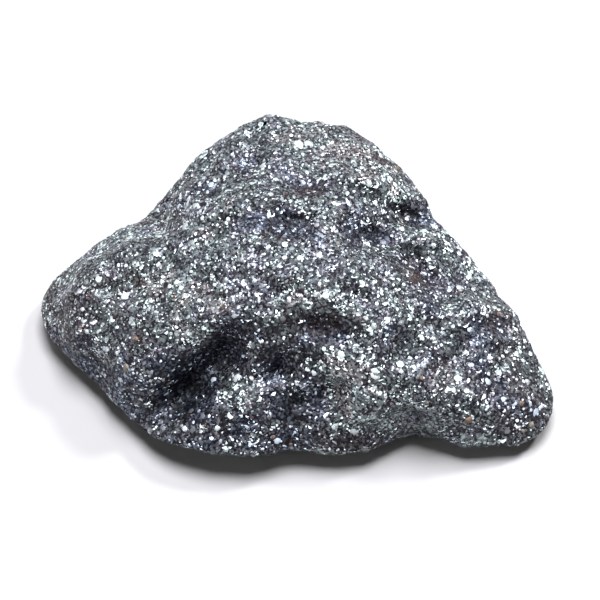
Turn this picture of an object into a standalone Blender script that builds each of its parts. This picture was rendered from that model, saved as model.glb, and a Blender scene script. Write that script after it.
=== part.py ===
"""A hand specimen of micaceous hematite: one natural stone, lying on its flat underside.

Blender 4.5, metres, +Z up.  The origin is at the middle of the stone's box, on the table.
+X runs along the stone's length, and -Y is its front.

The stone is laid out in a tipped plane, SIGHT_ELEVATION above the table and facing the front:
"across" is X and "up" climbs the plane towards the back.  OUTLINE is the stone's widest line
on that plane.  Inside it the crown is a field of heights above the table: a smooth surface
through SPOT_HEIGHTS, with HOLLOWS, RIDGES, lumps and broken facets.  Below the outline the
sides turn under and run in to the foot, the flat face that the stone rests on.
"""

import itertools
import math

import bmesh
import bpy
import numpy as np

MM = 0.001

# ---- driving dimensions: millimetres and degrees ----

SIGHT_ELEVATION = 60.0
SIN, COS = math.sin(math.radians(SIGHT_ELEVATION)), math.cos(math.radians(SIGHT_ELEVATION))
MIDDLE = np.array((-0.7, -1.9))  # the place that the crown's rings close on
FOOT_MIDDLE = np.array((0.0, -5.5))  # X and Y that the foot is drawn in towards
FOOT_CALM = np.linspace(-0.035, 0.035, 9)  # shares of a turn that the foot's line is averaged over
SIDE_LEAVE = 0.55  # how far the side runs on straight from the crown, over the outline's height
SIDE_ARRIVE = 0.30  # how far it leans out and stands up from the foot, over the inset and height

# The outline as (across, up), from the left tip over the back to the right tip and the front.
OUTLINE = [
    (-32.1, -3.4), (-31.7, -1.2), (-30.5, 0.6), (-28.7, 2.1), (-25.0, 5.1), (-21.4, 7.3),
    (-19.7, 7.9), (-18.2, 8.9), (-16.4, 11.2), (-14.5, 13.5), (-12.6, 15.9), (-10.4, 17.7),
    (-7.7, 19.5), (-5.7, 20.6), (-3.4, 21.5), (-1.4, 21.1), (0.7, 20.6), (2.7, 20.5),
    (4.0, 20.0), (6.4, 19.8), (7.9, 19.0), (9.9, 17.7), (13.5, 14.2), (15.2, 12.1),
    (16.5, 10.5), (17.3, 8.4), (19.2, 6.5), (22.7, 2.1), (24.3, 0.7), (25.6, -1.5),
    (27.2, -3.4), (29.1, -7.0), (30.6, -10.0), (31.8, -12.5), (32.2, -14.4), (31.6, -17.0),
    (30.5, -18.6), (29.0, -19.5), (26.7, -20.1), (21.7, -20.3), (19.5, -19.9), (17.4, -19.0),
    (15.0, -18.4), (13.0, -19.0), (11.1, -19.8), (9.2, -20.6), (6.7, -21.0), (1.7, -20.7),
    (-2.2, -20.7), (-3.7, -21.1), (-8.2, -21.3), (-12.0, -20.7), (-15.7, -19.9),
    (-18.2, -18.5), (-20.7, -16.7), (-24.9, -12.7), (-27.0, -10.4), (-30.7, -6.9),
    (-31.9, -4.5),
]

# By bearing from MIDDLE, anticlockwise from +X: the height of the outline above the table,
# how far inside it the foot lies, and how squarely the crown turns over at it.
SIDES = [
    (-27.0, 2.0, 2.8, 3.2), (0.0, 6.8, 5.5, 3.5), (33.0, 11.2, 4.5, 4.0), (65.0, 13.2, 3.5, 4.0),
    (95.0, 13.0, 3.0, 4.0), (125.0, 11.2, 4.0, 4.0), (152.0, 7.6, 5.5, 3.6), (182.0, 2.9, 3.8, 3.0),
    (212.0, 2.5, 3.0, 3.2), (240.0, 3.8, 3.6, 3.2), (256.0, 3.7, 3.4, 3.2), (272.0, 3.0, 3.0, 3.2),
    (300.0, 2.6, 2.8, 3.2), (318.0, 2.1, 2.6, 3.2),
]

# The crown's height above the table at (across, up).
SPOT_HEIGHTS = [
    # plateau and dome
    (-3.0, 17.0, 17.0), (4.0, 15.5, 17.4), (-9.0, 15.5, 16.2), (-3.0, 10.0, 18.2),
    (-10.0, 9.0, 17.2), (3.0, 9.5, 18.4), (-6.0, 3.0, 18.4), (0.5, 2.0, 18.0),
    (-11.5, 2.5, 17.0), (-3.0, -2.5, 17.0), (10.0, 13.0, 16.8), (5.5, 4.5, 17.6),
    (-13.0, -2.0, 15.8), (5.0, -0.5, 17.2), (-14.0, 11.0, 15.2), (-6.5, 19.0, 15.0),
    (10.5, 16.0, 15.6),
    # steps down to the right of the dome
    (14.5, 9.0, 14.4), (10.0, 5.5, 16.4), (13.0, 3.0, 15.6), (17.5, 2.5, 13.6), (15.5, -0.5, 14.4),
    # right wing
    (10.5, -3.0, 15.8), (7.0, -5.5, 15.4), (19.0, -4.5, 12.8), (13.0, -9.5, 12.6),
    (19.0, -10.5, 11.0), (24.0, -3.0, 11.6), (25.5, -8.0, 10.2), (25.5, -15.5, 8.4),
    (29.5, -14.5, 7.4), (24.0, -12.0, 10.0),
    # left lobe and the spur that runs down from it
    (-18.0, 5.5, 14.2), (-17.0, 2.0, 14.6), (-23.0, -0.5, 12.6), (-29.0, -2.5, 10.2),
    (-25.0, -5.5, 11.0), (-19.5, -4.5, 13.6), (-26.5, 2.5, 11.2), (-22.0, 5.0, 12.8),
    (-16.5, -8.0, 13.2), (-19.0, -12.0, 10.9), (-23.0, -9.5, 10.2), (-22.5, -13.0, 8.0),
    (-27.5, -7.5, 9.0), (-17.0, -16.4, 7.2),
    # front, from the plateau's edge down to the bench and the last steep band
    (-7.5, -5.5, 15.2), (-10.0, -8.5, 13.2), (-13.0, -12.0, 10.8), (-3.0, -6.0, 14.8),
    (0.5, -7.5, 13.8), (-6.0, -12.0, 10.4), (0.5, -12.5, 10.2), (-5.6, -14.8, 9.9),
    (6.0, -11.0, 12.0), (8.5, -13.0, 11.2), (-2.5, -16.0, 8.4), (4.0, -16.0, 8.4),
    (-10.0, -17.0, 8.0), (-3.0, -17.4, 8.1), (3.0, -17.4, 8.1), (-1.5, -19.0, 6.3),
    (5.5, -19.0, 6.3), (-9.0, -19.0, 6.4),
    (11.0, -16.0, 9.6), (16.0, -16.0, 8.8), (22.0, -18.0, 7.4),
]
SPOT_SOFTNESS = 1.6  # radius over which the crown rounds off at each spot
SHOULDER = 2.3  # just inside the outline, the crown's own surface above the outline
SHOULDER_REACH = 0.985  # how far out from MIDDLE to the outline that is
SHOULDER_SPOTS = 40

# (across, up, half length, half width, turn, depth)
HOLLOWS = [
    (-7.8, -7.0, 3.0, 2.4, 60, 2.0),  # the scoop in the front, from its head
    (-11.0, -10.9, 4.4, 3.0, 46, 3.4),
    (-15.1, -14.2, 3.6, 2.8, 33, 3.0),  # to its mouth
    (3.4, -5.4, 3.4, 1.9, -12, 1.7),  # dents between the plateau and the bench
    (-1.1, -10.1, 2.8, 1.6, 35, 1.6),
    (3.0, -13.8, 3.6, 1.7, 12, 1.4),
    (24.5, -13.0, 2.6, 1.3, 80, 0.9),  # dip in the right tip
    (13.4, 8.6, 3.0, 1.7, -20, 2.2),  # pockets below the dome's right edge
    (9.6, 6.0, 3.6, 1.8, -10, 1.9),
    (15.5, 1.9, 3.2, 1.7, -55, 2.0),
    (24.8, -4.9, 2.2, 1.2, -10, 1.0),
    (-0.2, 7.4, 3.4, 1.5, 10, 1.2),  # shallow dips in the crown
    (7.6, 11.5, 4.6, 1.2, -12, 0.8),
    (1.0, 12.2, 3.0, 1.1, 5, 0.6),
    (-5.8, 15.2, 2.0, 1.4, 30, 0.7),
    (-11.2, 11.8, 1.8, 1.0, -40, 0.6),
    (-10.6, 6.4, 2.2, 1.1, 30, 0.5),
    (-17.0, 2.6, 2.6, 1.2, 70, 0.6),
    (-22.8, 2.4, 2.0, 1.2, 20, 0.5),
    (-20.4, -5.4, 2.4, 1.2, -20, 0.5),
    (-3.4, 3.6, 2.4, 1.1, -10, 0.5),
    (8.0, -1.4, 2.6, 1.1, -30, 0.5),
    (17.4, -5.6, 2.6, 1.2, -40, 0.6),
    (12.2, -7.0, 2.2, 1.0, -20, 0.5),
    (20.2, -9.2, 2.4, 1.1, 60, 0.5),
    (13.2, -13.0, 2.4, 1.1, 0, 0.5),
]
HOLLOW_SQUARENESS = 1.3

# ((across, up) of each end, half width, height)
RIDGES = [
    ((7.0, 13.6), (14.0, 11.4), 1.5, 0.5),  # lip above the right-hand pockets
    ((7.6, -9.4), (8.4, -14.4), 1.4, 0.45),  # rib between the bench and the right wing
]

# Relief over the whole stone
LUMPS = [(9.0, 0.34, 3), (4.6, 0.26, 9), (2.4, 0.17, 5)]  # (size, height, seed)
CHIPS = [(5.5, 0.18, 7), (2.7, 0.16, 8)]  # (size of a facet, steepest tilt, seed)
CHIP_CRISPNESS = 6.0
LATTICE = 32  # random values along each side of the noise's table, before it repeats
RELIEF_CORE = np.array((0.0, -4.0, 7.0))  # the relief stands out from an ellipsoid about here
RELIEF_RADII = np.array((32.0, 23.0, 10.0))
OUTLINE_RELIEF = 0.5  # share of the relief that is left at the outline
SIDE_RELIEF = 1.8  # share of it on the sides below
SIDE_CALM = 0.5  # share of the way down from the outline over which it grows to that
OUTLINE_CALM = 0.07  # share of the way in from the outline over which it grows to the whole
TABLE_FADE = 2.0  # height above the table under which the relief stops lifting the surface

# ---- the mesh's own divisions ----

CAP_CELLS = 32  # cells along each side of the crown's square grid
RINGS_ABOVE = 12  # rings from that grid down to the outline
RINGS_BELOW = 8  # rings from the outline down to the foot
REACH_CROWDING = 1.6  # draws the crown's rings together towards the outline
CORNER_TURN = 0.1  # puts the grid's four corners where the outline bulges

STONE_COLOUR = (0.055, 0.06, 0.068)
STONE_ROUGHNESS = 0.42
STONE_METALLIC = 0.6


# ---- the outline ----

def closed_curve(points, steps):
    """A smooth closed curve through the points: a cubic for each span, whose slope at each
    point is half the step from the point before to the point after."""
    here = np.array(points, float)
    before, after, beyond = np.roll(here, 1, 0), np.roll(here, -1, 0), np.roll(here, -2, 0)
    t = (np.arange(steps) / steps)[:, None, None]
    spans = 0.5 * (
        2 * here
        + (after - before) * t
        + (2 * before - 5 * here + 4 * after - beyond) * t**2
        + (3 * here - before - 3 * after + beyond) * t**3
    )
    curve = spans.transpose(1, 0, 2).reshape(-1, here.shape[1])
    return np.vstack([curve, curve[:1]])


OUTLINE_CURVE = closed_curve(OUTLINE, 24)
OUTLINE_RUN = np.append(0.0, np.cumsum(np.linalg.norm(np.diff(OUTLINE_CURVE, axis=0), axis=1)))


def outline(turn):
    """The outline's (across, up) at a share of its whole length, from 0 to 1."""
    run = turn % 1.0 * OUTLINE_RUN[-1]
    across = np.interp(run, OUTLINE_RUN, OUTLINE_CURVE[:, 0])
    up = np.interp(run, OUTLINE_RUN, OUTLINE_CURVE[:, 1])
    return np.stack([across, up], -1)


def calm_outline(turn):
    """The outline with its small bends and corners averaged out."""
    return sum(outline(turn + step) for step in FOOT_CALM) / len(FOOT_CALM)


def ease(share):
    """0 to 1, level at both ends."""
    return share * share * (3 - 2 * share)


def sides(turn):
    """Outline height, foot inset and squareness there, eased between the bearings of SIDES."""
    table = np.array(SIDES)
    lap = np.array((360.0, 0, 0, 0))
    table = np.vstack([table, table[:1] + lap])
    offset = outline(turn) - MIDDLE
    bearing = np.degrees(np.arctan2(offset[..., 1], offset[..., 0]))
    bearing = (bearing - table[0, 0]) % 360.0 + table[0, 0]
    before = np.searchsorted(table[:, 0], bearing, side="right") - 1
    before = np.clip(before, 0, len(table) - 2)
    share = (bearing - table[before, 0]) / (table[before + 1, 0] - table[before, 0])
    share = ease(share)[..., None]
    values = table[before, 1:] * (1 - share) + table[before + 1, 1:] * share
    return np.moveaxis(values, -1, 0)


# ---- the crown ----

def spot_distance(places, spots):
    """Distance from each place to each spot, rounded off within SPOT_SOFTNESS."""
    gap = places[:, None, :] - spots[None, :, :2]
    return np.sqrt((gap**2).sum(-1) + SPOT_SOFTNESS**2)


def all_spots():
    """SPOT_HEIGHTS, and a row of spots just inside the outline that hold the shoulder up."""
    turn = np.arange(SHOULDER_SPOTS) / SHOULDER_SPOTS
    place = MIDDLE + (outline(turn) - MIDDLE) * SHOULDER_REACH
    height = sides(turn)[0] + SHOULDER
    return np.vstack([np.array(SPOT_HEIGHTS), np.column_stack([place, height])])


SPOTS = all_spots()
SPOT_LEVEL = SPOTS[:, 2].mean()
SPOT_WEIGHTS = np.linalg.solve(spot_distance(SPOTS[:, :2], SPOTS), SPOTS[:, 2] - SPOT_LEVEL)


def hollow(places, across, up, half_length, half_width, turn, depth):
    """An oval dip with its long way turned from +across."""
    away = places - (across, up)
    angle = math.radians(turn)
    along = (away[..., 0] * math.cos(angle) + away[..., 1] * math.sin(angle)) / half_length
    aside = (away[..., 1] * math.cos(angle) - away[..., 0] * math.sin(angle)) / half_width
    return -depth * np.exp(-((along**2 + aside**2) ** HOLLOW_SQUARENESS))


def ridge(places, start, end, half_width, height):
    """A low rounded ridge along the straight line from start to end."""
    start, run = np.array(start), np.array(end) - np.array(start)
    share = np.clip((places - start) @ run / (run @ run), 0, 1)
    away = places - start - share[..., None] * run
    return height * np.exp(-(away**2).sum(-1) / half_width**2)


def crown_height(places):
    """Height above the table of the crown's smooth surface at each (across, up)."""
    flat = places.reshape(-1, 2)
    height = SPOT_LEVEL + spot_distance(flat, SPOTS) @ SPOT_WEIGHTS
    for dip in HOLLOWS:
        height += hollow(flat, *dip)
    for rise in RIDGES:
        height += ridge(flat, *rise)
    return height.reshape(places.shape[:-1])


# ---- relief over the whole stone ----

def lattice_noise(points, size, seed):
    """Smooth noise from -1 to 1: random values at the corners of cubes, eased between them."""
    corners = np.random.default_rng(seed).uniform(-1, 1, (LATTICE,) * 3)
    cell = np.floor(points / size)
    share = ease(points / size - cell)
    total = np.zeros(len(points))
    for corner in itertools.product((0, 1), repeat=3):
        weight = np.prod(np.where(corner, share, 1 - share), axis=-1)
        x, y, z = (cell + corner).astype(int).T % LATTICE
        total += weight * corners[x, y, z]
    return total


def chips(points, size, tilt, seed):
    """Broken facets: each centre of a jittered net of cubes has its own tilt, and a point takes
    the tilts of the centres about it, the nearest one by far the most."""
    random = np.random.default_rng(seed)
    jitter = random.uniform(0.1, 0.9, (LATTICE, LATTICE, LATTICE, 3))
    slope = random.uniform(-tilt, tilt, (LATTICE, LATTICE, LATTICE, 3))
    grid = points / size
    cell = np.floor(grid)
    total, weights = np.zeros(len(points)), np.zeros(len(points))
    for near in itertools.product((-1, 0, 1), repeat=3):
        x, y, z = (cell + near).astype(int).T % LATTICE
        away = grid - (cell + near + jitter[x, y, z])
        weight = np.exp(-CHIP_CRISPNESS * (away**2).sum(-1))
        total += weight * (away * slope[x, y, z]).sum(-1) * size
        weights += weight
    return total / weights


def roughened(points, share):
    """The smooth stone's points, moved out or in by lumps and chips; share is the part of the
    relief that each point takes.  On the table the surface is never lifted."""
    outward = (points - RELIEF_CORE) / RELIEF_RADII**2
    outward /= np.linalg.norm(outward, axis=-1)[:, None]
    outward[:, 2] *= np.clip(points[:, 2] / TABLE_FADE, 0, 1)
    relief = sum(amount * lattice_noise(points, size, seed) for size, amount, seed in LUMPS)
    relief += sum(chips(points, size, tilt, seed) for size, tilt, seed in CHIPS)
    return points + outward * (relief * share)[:, None]


# ---- the whole surface ----

def from_plane(place, height):
    """The world point over (across, up) of the tipped plane that is this high."""
    across, up = place[..., 0], place[..., 1]
    return np.stack([across, (up - height * COS) / SIN, height], -1)


def crown_point(reach, turn):
    """Above the outline: reach runs from 0 at MIDDLE to 1 at the outline, where the crown
    turns over along a superellipse and drops to the outline's height."""
    edge_height, _, squareness = sides(turn)
    place = MIDDLE + (outline(turn) - MIDDLE) * reach[..., None]
    stand = (1 - reach**squareness) ** (1 / squareness)
    return from_plane(place, edge_height + (crown_height(place) - edge_height) * stand)


def side_point(drop, turn):
    """Below the outline: drop runs from 0 at the outline to 1 at the foot, down a Bezier
    curve that leaves the crown without a crease and arrives at the table leaning outwards."""
    edge_height, inset, _ = sides(turn)
    top = from_plane(outline(turn), edge_height)
    level = np.array((1.0, 1.0, 0.0))
    foot = from_plane(calm_outline(turn), edge_height) * level
    inwards = np.append(FOOT_MIDDLE, 0.0) - foot
    inwards /= np.linalg.norm(inwards, axis=-1)[..., None]
    foot += inwards * inset[..., None]
    down_sight = np.array((0.0, COS, -SIN))
    height = edge_height[..., None]
    leave = top + down_sight * SIDE_LEAVE * height
    lean = (1 - level) * height - inwards * inset[..., None]
    arrive = foot + lean * SIDE_ARRIVE
    t = drop[..., None]
    upper = top * (1 - t) ** 3 + 3 * leave * (1 - t) ** 2 * t
    return upper + 3 * arrive * (1 - t) * t**2 + foot * t**3


# ---- building ----

def blank():
    """A square post that the stone is shaped from: a gridded top, sides drawn down in rings
    one unit apart, and one face across the foot."""
    mesh = bmesh.new()
    bmesh.ops.create_grid(mesh, x_segments=CAP_CELLS, y_segments=CAP_CELLS, size=CAP_CELLS / 2)
    edges = [edge for edge in mesh.edges if edge.is_boundary]
    for _ in range(RINGS_ABOVE + RINGS_BELOW):
        grown = bmesh.ops.extrude_edge_only(mesh, edges=edges)["geom"]
        corners = [item for item in grown if isinstance(item, bmesh.types.BMVert)]
        edges = [item for item in grown if isinstance(item, bmesh.types.BMEdge) and item.is_boundary]
        bmesh.ops.translate(mesh, verts=corners, vec=(0, 0, -1))
    bmesh.ops.contextual_create(mesh, geom=edges)
    return mesh


def post_turn(x, y):
    """How far round the outline a place on the post lies, in turns: how far round its square
    ring it is, set on by CORNER_TURN."""
    ring = np.maximum(np.maximum(abs(x), abs(y)), 1e-9)
    on_right, on_back, on_left = x >= abs(y), y >= abs(x), -x >= abs(y)
    quarter = np.select([on_right, on_back, on_left], [y, -x, -y], x) / (8 * ring)
    return quarter + np.select([on_right, on_back, on_left], [0.0, 0.25, 0.5], 0.75) + CORNER_TURN


def shape(post):
    """The stone's point for each point of the post: square rings become the stone's rings."""
    x, y, depth = post[:, 0], post[:, 1], -post[:, 2]
    turn = post_turn(x, y)
    rings = np.maximum(abs(x), abs(y)) + depth
    crown_rings = CAP_CELLS / 2 + RINGS_ABOVE
    reach = 1 - np.clip(1 - rings / crown_rings, 0, 1) ** REACH_CROWDING
    drop = np.clip((rings - crown_rings) / RINGS_BELOW, 0, 1)
    below = (rings > crown_rings)[:, None]
    smooth = np.where(below, side_point(drop, turn), crown_point(reach, turn))
    from_outline = np.where(below[:, 0], drop / SIDE_CALM, (1 - reach) / OUTLINE_CALM)
    most = np.where(below[:, 0], SIDE_RELIEF, 1.0)
    share = OUTLINE_RELIEF + (most - OUTLINE_RELIEF) * ease(np.clip(from_outline, 0, 1))
    return roughened(smooth, share)


def stone_material():
    """Dark blue-grey, half metallic."""
    material = bpy.data.materials.new("specular_hematite")
    material.use_nodes = True
    shader = material.node_tree.nodes["Principled BSDF"]
    shader.inputs["Base Color"].default_value = (*STONE_COLOUR, 1.0)
    shader.inputs["Roughness"].default_value = STONE_ROUGHNESS
    shader.inputs["Metallic"].default_value = STONE_METALLIC
    return material


def make_stone():
    """The post, shaped, centred over the origin and cut into triangles."""
    body = blank()
    body.verts.ensure_lookup_table()
    points = shape(np.array([vertex.co for vertex in body.verts]))
    points[:, :2] -= (points[:, :2].min(0) + points[:, :2].max(0)) / 2
    for vertex, point in zip(body.verts, points * MM):
        vertex.co = point
    bmesh.ops.triangulate(body, faces=body.faces, quad_method="SHORT_EDGE", ngon_method="BEAUTY")
    bmesh.ops.recalc_face_normals(body, faces=body.faces)
    mesh = bpy.data.meshes.new("hematite_stone")
    body.to_mesh(mesh)
    body.free()
    mesh.materials.append(stone_material())
    stone = bpy.data.objects.new("hematite_stone", mesh)
    bpy.context.scene.collection.objects.link(stone)
    return stone


for leftover in list(bpy.data.objects):
    bpy.data.objects.remove(leftover, do_unlink=True)
make_stone()
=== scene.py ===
"""Looks for the micaceous hematite stone: a fine skin, its flakes and its odd grains.

The skin repeats the stone's own surface from part.py, more finely divided and with finer relief
added, and stands for the CAD node.  Flakes and grains are closed plates and lumps set into the
skin.  Millimetres inside the functions, metres in the meshes.
"""

import itertools
import math

import bpy
import numpy as np
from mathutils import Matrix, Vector


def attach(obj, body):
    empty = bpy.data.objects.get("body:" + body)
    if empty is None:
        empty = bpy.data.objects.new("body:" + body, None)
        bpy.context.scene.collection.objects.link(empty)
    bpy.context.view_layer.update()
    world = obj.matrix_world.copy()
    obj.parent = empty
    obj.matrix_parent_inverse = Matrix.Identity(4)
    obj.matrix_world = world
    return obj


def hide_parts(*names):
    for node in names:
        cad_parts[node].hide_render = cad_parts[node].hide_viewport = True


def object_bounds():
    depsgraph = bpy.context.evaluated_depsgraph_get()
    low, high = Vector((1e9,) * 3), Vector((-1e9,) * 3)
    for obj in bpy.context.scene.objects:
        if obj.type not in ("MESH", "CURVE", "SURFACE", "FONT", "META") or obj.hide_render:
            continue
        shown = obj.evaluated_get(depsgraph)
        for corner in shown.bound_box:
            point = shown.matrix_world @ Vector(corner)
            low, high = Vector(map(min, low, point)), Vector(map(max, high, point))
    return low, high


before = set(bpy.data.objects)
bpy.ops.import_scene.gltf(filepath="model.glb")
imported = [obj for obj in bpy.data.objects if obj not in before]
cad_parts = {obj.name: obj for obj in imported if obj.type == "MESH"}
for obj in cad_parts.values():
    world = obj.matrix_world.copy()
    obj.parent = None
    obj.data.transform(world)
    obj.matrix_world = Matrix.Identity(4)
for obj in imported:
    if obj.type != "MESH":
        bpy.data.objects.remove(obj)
CAD_BOX = [list(corner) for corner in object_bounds()]

MM = 0.001
NODE = "hematite_stone"

# ---- the stone, as in part.py: millimetres and degrees ----

SIGHT_ELEVATION = 60.0
SIN, COS = math.sin(math.radians(SIGHT_ELEVATION)), math.cos(math.radians(SIGHT_ELEVATION))
TO_EYE = np.array((0.0, -COS, SIN))  # towards the camera
MIDDLE = np.array((-0.7, -1.9))  # the place that the crown's rings close on
FOOT_MIDDLE = np.array((0.0, -5.5))  # X and Y that the foot is drawn in towards
FOOT_CALM = np.linspace(-0.035, 0.035, 9)  # shares of a turn that the foot's line is averaged over
SIDE_LEAVE = 0.55  # how far the side runs on straight from the crown, over the outline's height
SIDE_ARRIVE = 0.30  # how far it leans out and stands up from the foot, over the inset and height

# The outline as (across, up), from the left tip over the back to the right tip and the front.
OUTLINE = [
    (-32.1, -3.4), (-31.7, -1.2), (-30.5, 0.6), (-28.7, 2.1), (-25.0, 5.1), (-21.4, 7.3), (-19.7, 7.9),
    (-18.2, 8.9), (-16.4, 11.2), (-14.5, 13.5), (-12.6, 15.9), (-10.4, 17.7), (-7.7, 19.5), (-5.7, 20.6),
    (-3.4, 21.5), (-1.4, 21.1), (0.7, 20.6), (2.7, 20.5), (4.0, 20.0), (6.4, 19.8), (7.9, 19.0),
    (9.9, 17.7), (13.5, 14.2), (15.2, 12.1), (16.5, 10.5), (17.3, 8.4), (19.2, 6.5), (22.7, 2.1),
    (24.3, 0.7), (25.6, -1.5), (27.2, -3.4), (29.1, -7.0), (30.6, -10.0), (31.8, -12.5), (32.2, -14.4),
    (31.6, -17.0), (30.5, -18.6), (29.0, -19.5), (26.7, -20.1), (21.7, -20.3), (19.5, -19.9),
    (17.4, -19.0), (15.0, -18.4), (13.0, -19.0), (11.1, -19.8), (9.2, -20.6), (6.7, -21.0), (1.7, -20.7),
    (-2.2, -20.7), (-3.7, -21.1), (-8.2, -21.3), (-12.0, -20.7), (-15.7, -19.9), (-18.2, -18.5),
    (-20.7, -16.7), (-24.9, -12.7), (-27.0, -10.4), (-30.7, -6.9), (-31.9, -4.5),
]

# By bearing from MIDDLE, anticlockwise from +X: the height of the outline above the table,
# how far inside it the foot lies, and how squarely the crown turns over at it.
SIDES = [
    (-27.0, 2.0, 2.8, 3.2), (0.0, 6.8, 5.5, 3.5), (33.0, 11.2, 4.5, 4.0), (65.0, 13.2, 3.5, 4.0),
    (95.0, 13.0, 3.0, 4.0), (125.0, 11.2, 4.0, 4.0), (152.0, 7.6, 5.5, 3.6), (182.0, 2.9, 3.8, 3.0),
    (212.0, 2.5, 3.0, 3.2), (240.0, 3.8, 3.6, 3.2), (256.0, 3.7, 3.4, 3.2), (272.0, 3.0, 3.0, 3.2),
    (300.0, 2.6, 2.8, 3.2), (318.0, 2.1, 2.6, 3.2),
]

# The crown's height above the table at (across, up).
SPOT_HEIGHTS = [
    # plateau and dome
    (-3.0, 17.0, 17.0), (4.0, 15.5, 17.4), (-9.0, 15.5, 16.2), (-3.0, 10.0, 18.2), (-10.0, 9.0, 17.2),
    (3.0, 9.5, 18.4), (-6.0, 3.0, 18.4), (0.5, 2.0, 18.0), (-11.5, 2.5, 17.0), (-3.0, -2.5, 17.0),
    (10.0, 13.0, 16.8), (5.5, 4.5, 17.6), (-13.0, -2.0, 15.8), (5.0, -0.5, 17.2), (-14.0, 11.0, 15.2),
    (-6.5, 19.0, 15.0), (10.5, 16.0, 15.6),
    # steps down to the right of the dome
    (14.5, 9.0, 14.4), (10.0, 5.5, 16.4), (13.0, 3.0, 15.6), (17.5, 2.5, 13.6), (15.5, -0.5, 14.4),
    # right wing
    (10.5, -3.0, 15.8), (7.0, -5.5, 15.4), (19.0, -4.5, 12.8), (13.0, -9.5, 12.6), (19.0, -10.5, 11.0),
    (24.0, -3.0, 11.6), (25.5, -8.0, 10.2), (25.5, -15.5, 8.4), (29.5, -14.5, 7.4), (24.0, -12.0, 10.0),
    # left lobe and the spur that runs down from it
    (-18.0, 5.5, 14.2), (-17.0, 2.0, 14.6), (-23.0, -0.5, 12.6), (-29.0, -2.5, 10.2),
    (-25.0, -5.5, 11.0), (-19.5, -4.5, 13.6), (-26.5, 2.5, 11.2), (-22.0, 5.0, 12.8),
    (-16.5, -8.0, 13.2), (-19.0, -12.0, 10.9), (-23.0, -9.5, 10.2), (-22.5, -13.0, 8.0),
    (-27.5, -7.5, 9.0), (-17.0, -16.4, 7.2),
    # front, from the plateau's edge down to the bench and the last steep band
    (-7.5, -5.5, 15.2), (-10.0, -8.5, 13.2), (-13.0, -12.0, 10.8), (-3.0, -6.0, 14.8), (0.5, -7.5, 13.8),
    (-6.0, -12.0, 10.4), (0.5, -12.5, 10.2), (-5.6, -14.8, 9.9), (6.0, -11.0, 12.0), (8.5, -13.0, 11.2),
    (-2.5, -16.0, 8.4), (4.0, -16.0, 8.4), (-10.0, -17.0, 8.0), (-3.0, -17.4, 8.1), (3.0, -17.4, 8.1),
    (-1.5, -19.0, 6.3), (5.5, -19.0, 6.3), (-9.0, -19.0, 6.4), (11.0, -16.0, 9.6), (16.0, -16.0, 8.8),
    (22.0, -18.0, 7.4),
]
SPOT_SOFTNESS = 1.6  # radius over which the crown rounds off at each spot
SHOULDER = 2.3  # just inside the outline, the crown's own surface above the outline
SHOULDER_REACH = 0.985  # how far out from MIDDLE to the outline that is
SHOULDER_SPOTS = 40

# (across, up, half length, half width, turn, depth)
HOLLOWS = [
    # the scoop in the front, from its head to its mouth
    (-7.8, -7.0, 3.0, 2.4, 60, 2.0), (-11.0, -10.9, 4.4, 3.0, 46, 3.4),
    (-15.1, -14.2, 3.6, 2.8, 33, 3.0),
    # dents between the plateau and the bench, and the dip in the right tip
    (3.4, -5.4, 3.4, 1.9, -12, 1.7), (-1.1, -10.1, 2.8, 1.6, 35, 1.6), (3.0, -13.8, 3.6, 1.7, 12, 1.4),
    (24.5, -13.0, 2.6, 1.3, 80, 0.9),
    # pockets below the dome's right edge
    (13.4, 8.6, 3.0, 1.7, -20, 2.2), (9.6, 6.0, 3.6, 1.8, -10, 1.9), (15.5, 1.9, 3.2, 1.7, -55, 2.0),
    (24.8, -4.9, 2.2, 1.2, -10, 1.0),
    # shallow dips in the crown
    (-0.2, 7.4, 3.4, 1.5, 10, 1.2), (7.6, 11.5, 4.6, 1.2, -12, 0.8), (1.0, 12.2, 3.0, 1.1, 5, 0.6),
    (-5.8, 15.2, 2.0, 1.4, 30, 0.7), (-11.2, 11.8, 1.8, 1.0, -40, 0.6), (-10.6, 6.4, 2.2, 1.1, 30, 0.5),
    (-17.0, 2.6, 2.6, 1.2, 70, 0.6), (-22.8, 2.4, 2.0, 1.2, 20, 0.5), (-20.4, -5.4, 2.4, 1.2, -20, 0.5),
    (-3.4, 3.6, 2.4, 1.1, -10, 0.5), (8.0, -1.4, 2.6, 1.1, -30, 0.5), (17.4, -5.6, 2.6, 1.2, -40, 0.6),
    (12.2, -7.0, 2.2, 1.0, -20, 0.5), (20.2, -9.2, 2.4, 1.1, 60, 0.5), (13.2, -13.0, 2.4, 1.1, 0, 0.5),
]
HOLLOW_SQUARENESS = 1.3

# ((across, up) of each end, half width, height)
RIDGES = [
    ((7.0, 13.6), (14.0, 11.4), 1.5, 0.5),  # lip above the right-hand pockets
    ((7.6, -9.4), (8.4, -14.4), 1.4, 0.45),  # rib between the bench and the right wing
]

LUMPS = [(9.0, 0.34, 3), (4.6, 0.26, 9), (2.4, 0.17, 5)]  # (size, height, seed)
CHIPS = [(5.5, 0.18, 7), (2.7, 0.16, 8)]  # (size of a facet, steepest tilt, seed)
CHIP_CRISPNESS, CHIP_JITTER = 6.0, (0.1, 0.9)  # and where in its cube a facet's centre lies
LATTICE = 32  # random values along each side of the noise's table, before it repeats
RELIEF_CORE = np.array((0.0, -4.0, 7.0))  # the relief stands out from an ellipsoid about here
RELIEF_RADII = np.array((32.0, 23.0, 10.0))
OUTLINE_RELIEF = 0.5  # share of the relief that is left at the outline
SIDE_RELIEF = 1.8  # share of it on the sides below
SIDE_CALM = 0.5  # share of the way down from the outline over which it grows to that
OUTLINE_CALM = 0.07  # share of the way in from the outline over which it grows to the whole
TABLE_FADE = 2.0  # height above the table under which the relief stops lifting the surface

# ---- the skin's own divisions and its finest relief ----

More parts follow.
